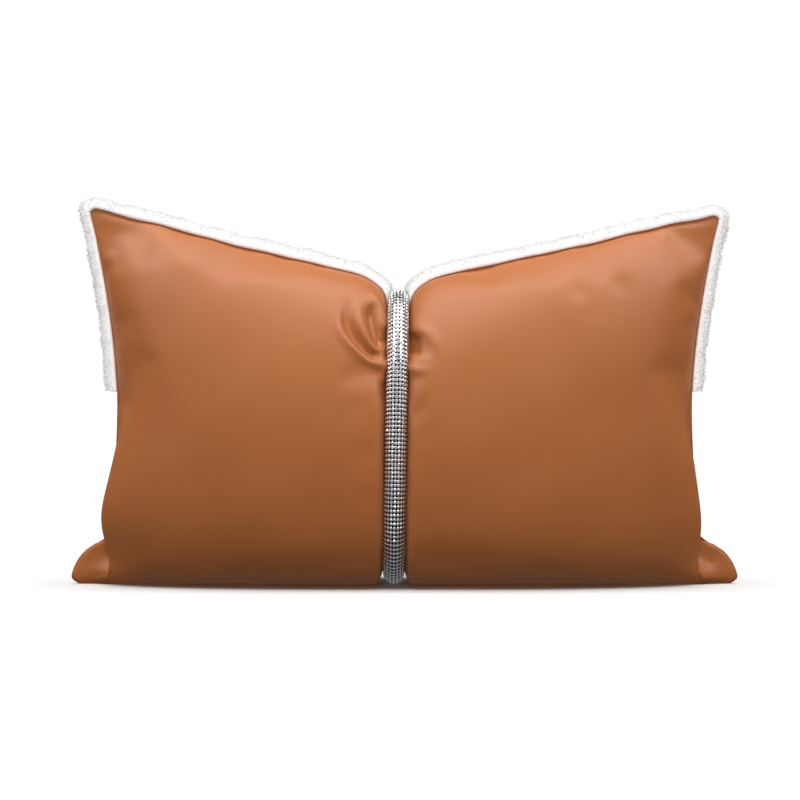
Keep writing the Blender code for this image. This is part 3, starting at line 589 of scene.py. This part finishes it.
def on_back(xs, zs):
    """Points of the back's surface at a place and height."""
    t = np.linspace(0.25, 0.65, 161)
    found = []
    for x, z in zip(xs, zs):
        line = cover(BACK, x / half_width(ZIP_HEIGHT), 0.0, t, 0.0)
        found.append([x, np.interp(z, line[:, 2], line[:, 1]), z])
    return np.array(found)


stitch_x = np.arange(-0.196, 0.196, STITCH_PITCH)
stitch_x = stitch_x[np.abs(stitch_x - rope_x(ZIP_HEIGHT)) > 0.004]
stitch_z = np.full(len(stitch_x), ZIP_HEIGHT - ZIP_OPENING / 2 - STITCH_INSET)
first = on_back(stitch_x, stitch_z)
second = on_back(stitch_x + STITCH_LENGTH, stitch_z)
straight_out = np.tile([0, 1.0, 0], (len(first), 1))
stitches = bars("zip_top_stitching", first, second, straight_out, THREAD_RADIUS, thread)
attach(stitches, "pillow")

# ---------------------------------------------------------------- back fur panel
# The upper half of the back: white faux fur with a dense 8 mm pile on a knitted backing. It is sewn into the
# front's seam, so the pile rolls over the top and down both sides to the zip. The rope presses it flat.

PILE_CORE, PILE_PRESSED = 0.0094, 0.0034
ROLL_ANGLES = (0.25, 0.50, 0.75, 1.0, 1.25)
fur, nodes, links, shader, place = finish_of("white_fur", (0.95, 0.94, 0.935), 0.85, specular=0.1)
cloud = noise(nodes, links, place, 60, 4)
tone = ramp(nodes, links, cloud, [(0.25, (0.95, 0.935, 0.93)), (0.7, (1.0, 0.985, 0.975))])
links.new(tone, shader.inputs["Base Color"])
shader.inputs["Sheen Weight"].default_value = 0.2
shader.inputs["Sheen Roughness"].default_value = 0.5
bump(nodes, links, shader, noise(nodes, links, place, 900, 3), 0.0005, 0.5)

s_fur, e_fur, t_high, lip_high = grid_lines(BACK, 0.0022, 0.0030, low=0.47)
keep = e_fur == 0
s_fur = s_fur[keep]
t_high = t_high[lip_high == 0]
from_slot = share_at_slot(s_fur, 0 * s_fur, 1)
rows_high = from_slot[None] + (1 - from_slot[None]) * ((t_high - t_high[0]) / (1 - t_high[0]))[:, None]
backing = cover(BACK, s_fur[None], 0.0, rows_high, 0.0, pressed=0.003)


def with_roll(grid):
    """The pile's roots and directions on the backing's grid, with the roll past the seam at three sides."""
    out = facing_out(grid, BACK)
    out[0, :, 2] = np.maximum(out[0, :, 2], 0)
    seam = np.zeros_like(grid)
    along = np.gradient(grid[-1], axis=0)
    seam[-1] = np.stack([-along[:, 2], 0 * along[:, 0], along[:, 0]], -1)
    for column, way in ((0, -1), (-1, 1)):
        rising = np.gradient(grid[:, column], axis=0)
        side_out = way * np.stack([rising[:, 2], 0 * rising[:, 0], -rising[:, 0]], -1)
        seam[:, column] = side_out / np.linalg.norm(side_out, axis=-1, keepdims=True)
        corner = seam[-1, column] + np.array([0, 0, 1.0]) + way * np.array([0.4, 0, 0])
        seam[-1, column] = corner
    size = np.linalg.norm(seam, axis=-1, keepdims=True)
    on_border = size[..., 0] > 0
    out[on_border] = (seam / np.maximum(size, 1e-9))[on_border]
    rows, cols = grid.shape[:2]
    extra = len(ROLL_ANGLES)
    r = np.arange(rows + extra)[:, None]
    c = np.arange(-extra, cols + extra)[None]
    past = np.maximum(np.maximum(r - rows + 1, -c), np.maximum(c - cols + 1, 0))
    r, c = np.broadcast_arrays(np.minimum(r, rows - 1), np.clip(c, 0, cols - 1))
    turn = np.array((0, *ROLL_ANGLES))[past]
    directions = out[r, c] * np.cos(turn)[..., None] - np.sin(turn)[..., None] * np.array([0, 1.0, 0])
    return grid[r, c], directions


roots, pile_out = with_roll(backing)
under_rope = np.exp(-(((roots[..., 0] - rope_x(roots[..., 2])) / 0.0105) ** 4))
lumps = 1 + 0.07 * wavy(roots, 0.022, 3) + 0.05 * wavy(roots, 0.009, 4)
core = (PILE_CORE * lumps) * (1 - under_rope) + PILE_PRESSED * under_rope
tucked = np.clip(-pile_out[..., 1], 0, 1)
core = core * (1 - 0.25 * tucked)
pile_face = roots + pile_out * core[..., None]


def clear_of_rope(points, least):
    """Moves points of the pile off the rope, straight out from its middle."""
    for side in (FRONT, BACK):
        line = rope_line(side, np.linspace(0, 1, 161))
        line = np.column_stack([rope_x(line[:, 1]), line])
        flat = points.reshape(-1, 3)
        near = np.flatnonzero(np.abs(flat[:, 0] - rope_x(flat[:, 2])) < least * 1.3)
        away = flat[near, None] - line[None]
        distance = np.linalg.norm(away, axis=-1)
        nearest = distance.argmin(1)
        pick = np.arange(len(near))
        gap = distance[pick, nearest]
        close = gap < least
        push = away[pick, nearest] / np.maximum(gap, 1e-9)[:, None] * least
        flat[near[close]] = (line[nearest] + push)[close]
    return points


def clear_of_zip(points):
    """Keeps the pile out of the zip's opening."""
    lowest = slot_level(1, points[..., 0]) + 0.0006
    points[..., 2] = np.maximum(points[..., 2], lowest)
    return points


pile_face = clear_of_zip(clear_of_rope(pile_face, ROPE_RADIUS + 0.0012))
inner_pile = roots + pile_out * 0.0002
pile_body = closed_shell("fur_pile_core", pile_face, inner_pile, BACK, fur)
leave_out(off_table_and_fur, pile_body)
fur_only.objects.link(pile_body)
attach(pile_body, "pillow")
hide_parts("back_fur_panel")

TUFTS, TUFT_PIECES = 60000, 4
TUFT_WIDTH, TUFT_LENGTH = 0.00055, 0.0019
dice = np.random.default_rng(11)
edge_a = pile_face[1:, :-1] - pile_face[:-1, :-1]
edge_b = pile_face[:-1, 1:] - pile_face[:-1, :-1]
area = np.linalg.norm(np.cross(edge_a, edge_b), axis=-1).ravel()
cell = dice.choice(len(area), TUFTS, p=area / area.sum())
row, col = np.divmod(cell, pile_face.shape[1] - 1)
a, b = dice.random((2, TUFTS, 1))


def blended(grid):
    low = grid[row, col] * (1 - b) + grid[row, col + 1] * b
    high = grid[row + 1, col] * (1 - b) + grid[row + 1, col + 1] * b
    return low * (1 - a) + high * a


root, out = blended(pile_face), blended(pile_out)
flatness = blended(under_rope[..., None])[:, 0]
lean = np.stack([wavy(root, 0.016, 20 + k) for k in range(3)], -1) * 0.30
lean = lean + dice.normal(size=(TUFTS, 3)) * 0.22
lean[:, 2] -= 0.12
out = out + lean
out /= np.linalg.norm(out, axis=-1, keepdims=True)
length = TUFT_LENGTH * dice.uniform(0.7, 1.15, TUFTS) * (1 - 0.72 * flatness)
bend = np.stack([wavy(root, 0.012, 30 + k) for k in range(3)], -1) * 0.35 - np.array([0, 0, 0.25])
side_way = np.cross(out, dice.normal(size=(TUFTS, 3)))
side_way /= np.linalg.norm(side_way, axis=-1, keepdims=True)
other_way = np.cross(out, side_way)
rings = []
for up, wide in ((-0.25, 1.0), (0.5, 0.62)):
    middle = root + out * (length * up)[:, None] + bend * (length * max(up, 0) ** 2)[:, None]
    for k in range(3):
        turn = 2 * math.pi * k / 3
        round_way = side_way * math.cos(turn) + other_way * math.sin(turn)
        rings.append(middle + round_way * TUFT_WIDTH / 2 * wide)
tip = root + out * length[:, None] + bend * length[:, None]
hairs = np.stack([*rings, tip], 1)
hairs = clear_of_zip(clear_of_rope(hairs.reshape(-1, 3), ROPE_RADIUS + 0.0004)).reshape(-1, 7, 3)
one_tuft = [(0, 1, 4, 3), (1, 2, 5, 4), (2, 0, 3, 5), (3, 4, 6), (4, 5, 6), (5, 3, 6)]
for number in range(TUFT_PIECES):
    some = hairs[number::TUFT_PIECES]
    faces = [tuple(7 * n + i for i in face) for n in range(len(some)) for face in one_tuft]
    tufts = new_mesh(f"fur_tufts_{number + 1}", some, faces, fur)
    leave_out(off_table_and_fur, tufts)
    fur_only.objects.link(tufts)
    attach(tufts, "pillow")

# ---------------------------------------------------------------- crystal rope
# A dark satin cord inside a band of cup mesh. It is made near black so that it also paints the shade deep in
# the net's gaps. Each cup holds one clear, foiled, faceted stone, and the cups are linked in a square net, 18
# round and 3.0 mm apart along the rope. It is pulled tight, so it sinks in.

ROUND, PITCH, STONE_RADIUS = 18, 0.00304, 0.00118
TABLE, GIRDLE = ROPE_RADIUS - 0.0002, ROPE_RADIUS - 0.00075
CUFF_HEIGHT, CUFF_HALF = 0.060, 0.012
trace = np.linspace(0, 1, 1501)
loop = np.concatenate([rope_line(FRONT, trace), rope_line(BACK, trace[::-1])[1:-1]])
loop = np.column_stack([rope_x(loop[:, 1]), loop])
loop = np.concatenate([loop, loop[:1]])
travel = np.concatenate([[0], np.cumsum(np.linalg.norm(np.diff(loop, axis=0), axis=1))])


def along_rope(count):
    """That many places evenly along the closed rope: its middle, and the ways along, out and sideways."""
    where = np.arange(count) * travel[-1] / count
    reach = 0.0022

    def at(distance):
        distance = distance % travel[-1]
        return np.stack([np.interp(distance, travel, loop[:, k]) for k in range(3)], -1)

    middle, tangent = at(where), at(where + reach) - at(where - reach)
    tangent /= np.linalg.norm(tangent, axis=-1, keepdims=True)
    sideways = np.array([1.0, 0, 0]) - tangent[:, :1] * tangent
    sideways /= np.linalg.norm(sideways, axis=-1, keepdims=True)
    return middle, tangent, np.cross(sideways, tangent), sideways


def in_cuff(middle, margin):
    return (middle[:, 1] > 0) & (np.abs(middle[:, 2] - CUFF_HEIGHT) < CUFF_HALF + margin)


middle, tangent, outward, sideways = along_rope(int(round(travel[-1] / PITCH)))
open_rows = ~in_cuff(middle, 0.0008)
middle, tangent, outward, sideways = (v[open_rows] for v in (middle, tangent, outward, sideways))


def around_rope(template, faces, name, finish, jitter=0.0):
    """Copies a small shape, given as (along, round, out) points, to every place of the net."""
    dice = np.random.default_rng(5)
    copies = []
    for k in range(ROUND):
        turn = 2 * math.pi * k / ROUND
        out = outward * math.cos(turn) + sideways * math.sin(turn)
        round_way = sideways * math.cos(turn) - outward * math.sin(turn)
        tilt = dice.normal(size=(len(middle), 2)) * jitter
        u, v, w = (template[:, i][None] for i in range(3))
        w = w + tilt[:, :1] * u + tilt[:, 1:] * v
        copies.append(
            middle[:, None] + out[:, None] * w[..., None]
            + tangent[:, None] * u[..., None] + round_way[:, None] * v[..., None]
        )
    points = np.concatenate(copies).reshape(-1, 3)
    size = len(template)
    every = [tuple(n * size + i for i in face) for n in range(len(points) // size) for face in faces]
    piece = new_mesh(name, points, every, finish)
    piece.data.shade_flat()
    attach(piece, "pillow")
    return piece


def ring_of(radius, height, turn=0.0):
    """Eight points of a stone or a cup at one height."""
    angles = 2 * np.pi * (np.arange(8) + turn) / 8
    return np.column_stack([radius * np.cos(angles), radius * np.sin(angles), np.full(8, height)])


stone = np.concatenate([
    ring_of(0.52 * STONE_RADIUS, TABLE, turn=0.5),
    ring_of(STONE_RADIUS, GIRDLE),
    ring_of(0.72 * STONE_RADIUS, GIRDLE - 0.00045),
])
stone_faces = [tuple(range(8)), tuple(range(16, 24))[::-1]]
for k in range(8):
    n = (k + 1) % 8
    stone_faces += [(8 + k, 8 + n, k), (k, 8 + n, n), (16 + k, 16 + n, 8 + n, 8 + k)]
crystal, nodes, links, shader, place = finish_of(
    "clear_crystal", (0.93, 0.95, 0.98), 0.06, metallic=0.55, specular=0.9)
sparkle = nodes.new("ShaderNodeTexVoronoi")
sparkle.inputs["Scale"].default_value = 420
links.new(place, sparkle.inputs["Vector"])
split = nodes.new("ShaderNodeSeparateColor")
links.new(sparkle.outputs["Color"], split.inputs["Color"])
glint = ramp(nodes, links, split.outputs["Red"],
             [(0.0, (0.70, 0.71, 0.74)), (0.35, (0.92, 0.93, 0.95)), (1.0, (1.0, 1.0, 1.0))])
links.new(glint, shader.inputs["Base Color"])
stones = around_rope(stone, stone_faces, "rope_stones", crystal, jitter=0.07)
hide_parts("rope_crystals")

cup = np.concatenate([
    ring_of(0.80 * STONE_RADIUS, GIRDLE - 0.00075),
    ring_of(1.09 * STONE_RADIUS, GIRDLE - 0.00035),
    ring_of(1.07 * STONE_RADIUS, GIRDLE + 0.00010),
    ring_of(0.97 * STONE_RADIUS, GIRDLE + 0.00006),
])
cup_faces = [tuple(range(8))[::-1]]
for ring in range(3):
    for k in range(8):
        n = (k + 1) % 8
        cup_faces.append((8 * ring + k, 8 * ring + n, 8 * ring + 8 + n, 8 * ring + 8 + k))
silver, nodes, links, shader, place = finish_of("silver_plate", (0.80, 0.80, 0.82), 0.22, metallic=1.0)
cloud = noise(nodes, links, place, 500, 3)
worn = ramp(nodes, links, cloud, [(0.3, (0.62, 0.62, 0.64)), (0.65, (0.86, 0.86, 0.88))])
links.new(worn, shader.inputs["Base Color"])
cups = around_rope(cup, cup_faces, "rope_cups", silver)
LINK_WIDTH, LINK_TOP, LINK_BOTTOM = 0.00135, GIRDLE + 0.00016, GIRDLE - 0.00045
link_along = [(u, v, w) for w in (LINK_BOTTOM, LINK_TOP) for u, v in (
    (STONE_RADIUS * 0.9, -LINK_WIDTH / 2), (PITCH - STONE_RADIUS * 0.9, -LINK_WIDTH / 2),
    (PITCH - STONE_RADIUS * 0.9, LINK_WIDTH / 2), (STONE_RADIUS * 0.9, LINK_WIDTH / 2))]
across = 2 * math.pi * GIRDLE / ROUND
link_round = [(v, u, w) for w in (LINK_BOTTOM, LINK_TOP) for u, v in (
    (STONE_RADIUS * 0.9, -LINK_WIDTH / 2), (across - STONE_RADIUS * 0.9, -LINK_WIDTH / 2),
    (across - STONE_RADIUS * 0.9, LINK_WIDTH / 2), (STONE_RADIUS * 0.9, LINK_WIDTH / 2))]
link_faces = [(3, 2, 1, 0), (4, 5, 6, 7), (0, 1, 5, 4), (1, 2, 6, 5), (2, 3, 7, 6), (3, 0, 4, 7)]
link_faces += [tuple(8 + i for i in face[::-1]) for face in link_faces]
links_between = around_rope(np.array(link_along + link_round), link_faces, "rope_links", silver)
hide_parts("rope_metal_mesh")


def ringed_tube(name, middle, outward, sideways, radii, finish, sides=28, closed=True):
    """A skin round the rope's middle, with a radius for each ring."""
    angles = 2 * np.pi * np.arange(sides) / sides
    cosine, sine = np.cos(angles)[None, :, None], np.sin(angles)[None, :, None]
    spokes = outward[:, None] * cosine + sideways[:, None] * sine
    points = middle[:, None] + spokes * np.broadcast_to(radii, len(middle))[:, None, None]
    count = len(middle)
    faces = []
    for r in range(count if closed else count - 1):
        for k in range(sides):
            n, r2 = (k + 1) % sides, (r + 1) % count
            faces.append((r * sides + k, r2 * sides + k, r2 * sides + n, r * sides + n))
    if not closed:
        faces += [tuple(range(sides)), tuple(range((count - 1) * sides, count * sides))[::-1]]
    return new_mesh(name, points, faces, finish)


# near black: a dark cord, with the shade deep in the net's gaps painted into its colour
satin, nodes, links, shader, place = finish_of("dark_cord_and_gap_shade", (0.008, 0.008, 0.009), 0.55, specular=0.25)
strands = nodes.new("ShaderNodeTexWave")
strands.bands_direction = "DIAGONAL"
strands.inputs["Scale"].default_value = 260
links.new(place, strands.inputs["Vector"])
bump(nodes, links, shader, strands.outputs["Fac"], 0.0002, 0.5)
whole = along_rope(300)
cord = ringed_tube("rope_core", whole[0], whole[2], whole[3], GIRDLE - 0.00085, satin)
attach(cord, "pillow")
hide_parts("rope_cord")

# ---------------------------------------------------------------- join cuff
# The rope's two ends butt together low on the back. A strip of the same leather is wrapped round the join,
# its edges turned in, and closed by hand with a row of stitches that faces out.

fine = along_rope(1400)
inside_cuff = in_cuff(fine[0], -0.0006)
ring_middle, ring_along, ring_out, ring_side = (v[inside_cuff] for v in fine)
share = np.linspace(-1, 1, len(ring_middle))
profile = ROPE_RADIUS + 0.0001 - 0.0009 * np.abs(share) ** 14 + 0.00012 * np.cos(share * 9)
profile = np.concatenate([[profile[0] - 0.0006], profile[1:-1], [profile[-1] - 0.0006]])
cuff = ringed_tube("cuff_wrap", ring_middle, ring_out, ring_side, profile, leather, sides=48, closed=False)
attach(cuff, "pillow")
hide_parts("rope_join_cuff")
picked = np.linspace(2, len(ring_middle) - 4, 7).astype(int)
base = ring_middle[picked] + ring_out[picked] * (ROPE_RADIUS + 0.0002)
slant = ring_side[picked] * 0.0011
rise = ring_along[picked] * 0.0004
first, second = base - slant - rise, base + slant + rise
cuff_stitches = bars("cuff_stitching", first, second, ring_out[picked], 0.00020, thread)
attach(cuff_stitches, "pillow")

# ---------------------------------------------------------------- zip
# A nylon coil zip, 26 cm long, in the seam between the two back panels. Two woven tapes are sewn inside the
# panels' edges, each with a coil of nylon sewn along it. The slider, its tab and the stops are pressed metal.

tape_cloth, nodes, links, shader, place = finish_of("zip_tape_weave", (0.30, 0.13, 0.055), 0.85, specular=0.2)
weave = nodes.new("ShaderNodeTexWave")
weave.inputs["Scale"].default_value = 320
links.new(place, weave.inputs["Vector"])
tone = ramp(nodes, links, weave.outputs["Fac"], [(0.2, (0.24, 0.10, 0.042)), (0.8, (0.34, 0.15, 0.066))])
links.new(tone, shader.inputs["Base Color"])
bump(nodes, links, shader, weave.outputs["Fac"], 0.0002, 0.6)
nylon, nodes, links, shader, place = finish_of("nylon_coil", (0.33, 0.145, 0.062), 0.35, specular=0.5)
cloud = noise(nodes, links, place, 300, 3)
tone = ramp(nodes, links, cloud, [(0.3, (0.30, 0.13, 0.054)), (0.7, (0.36, 0.16, 0.070))])
links.new(tone, shader.inputs["Base Color"])
zip_metal, nodes, links, shader, place = finish_of("nickel_plate", (0.72, 0.71, 0.68), 0.28, metallic=1.0)
cloud = noise(nodes, links, place, 260, 4)
tone = ramp(nodes, links, cloud, [(0.3, (0.60, 0.59, 0.56)), (0.7, (0.80, 0.79, 0.76))])
links.new(tone, shader.inputs["Base Color"])
bump(nodes, links, shader, noise(nodes, links, place, 900, 3), 0.00005, 0.4)
ribbon, nodes, links, shader, place = finish_of("label_satin", (0.86, 0.85, 0.82), 0.4, specular=0.4)
satin_lines = nodes.new("ShaderNodeTexWave")
satin_lines.inputs["Scale"].default_value = 500
links.new(place, satin_lines.inputs["Vector"])
bump(nodes, links, shader, satin_lines.outputs["Fac"], 0.0001, 0.4)
for node in bpy.data.objects:
    if node.name.startswith("zip_tape"):
        node.data.materials.append(tape_cloth)
    elif node.name.startswith(("zip_slider", "zip_pull", "zip_top", "zip_bottom")):
        node.data.materials.append(zip_metal)
    elif node.name == "care_label":
        node.data.materials.append(ribbon)

COIL_PITCH, WIRE, AROUND, WIRE_SIDES = 0.0011, 0.00029, 12, 6
for word in ("upper", "lower"):
    low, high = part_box(f"zip_teeth_{word}")
    length, radius = high.x - low.x, (high.y - low.y) / 2 - WIRE
    turns = np.arange(int(length / COIL_PITCH * AROUND)) / AROUND
    turns = turns[turns * COIL_PITCH < length - 2 * WIRE]
    angle = 2 * np.pi * turns * (1 if word == "upper" else -1)
    radial = np.stack([0 * angle, np.cos(angle), np.sin(angle)], -1)
    wire = radial * radius
    wire[:, 0] += low.x + WIRE + turns * COIL_PITCH
    wire[:, 1] += (low.y + high.y) / 2
    wire[:, 2] += (low.z + high.z) / 2
    forward = np.gradient(wire, axis=0)
    forward /= np.linalg.norm(forward, axis=-1, keepdims=True)
    wire_side = np.cross(radial, forward)
    coil = ringed_tube(f"zip_coil_{word}", wire, radial, wire_side, WIRE, nylon, sides=WIRE_SIDES, closed=False)
    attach(coil, "pillow")
    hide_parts(f"zip_teeth_{word}")

# ---------------------------------------------------------------- insert
# A plain white non-woven casing in two halves, sewn round the edge and stuffed with loose polyester fibre.
# The cover hides all of it.

casing, nodes, links, shader, place = finish_of("insert_casing", (0.80, 0.80, 0.78), 0.9, specular=0.2)
bump(nodes, links, shader, noise(nodes, links, place, 700, 4), 0.0003, 0.6)
fibre, nodes, links, shader, place = finish_of("polyester_fibre", (0.9, 0.9, 0.9), 0.95, specular=0.1)
bump(nodes, links, shader, noise(nodes, links, place, 350, 6), 0.0008, 0.8)
s_in = np.concatenate([-np.linspace(1, 0, 60)[:-1] ** 0.8, np.linspace(0, 1, 60) ** 0.8])
t_in = np.linspace(0, 1, 60)


def stuffed(side, inset):
    return cover(side, s_in[None], 0.0, t_in[:, None], 0.0, inset=inset)


for side, word in ((FRONT, "front"), (BACK, "back")):
    half_case = stuffed(side, 0.0115)
    inner_case = half_case - facing_out(half_case, side) * 0.0005
    inner_case[..., 1] = side * np.maximum(side * inner_case[..., 1], GAP / 2)
    case = closed_shell(f"insert_{word}", half_case, inner_case, side, casing)
    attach(case, "pillow")
    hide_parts(f"insert_{word}_cloth")
filling = closed_shell("insert_fibre", stuffed(BACK, 0.0135), stuffed(FRONT, 0.0135), BACK, fibre)
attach(filling, "pillow")
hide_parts("fibre_filling")
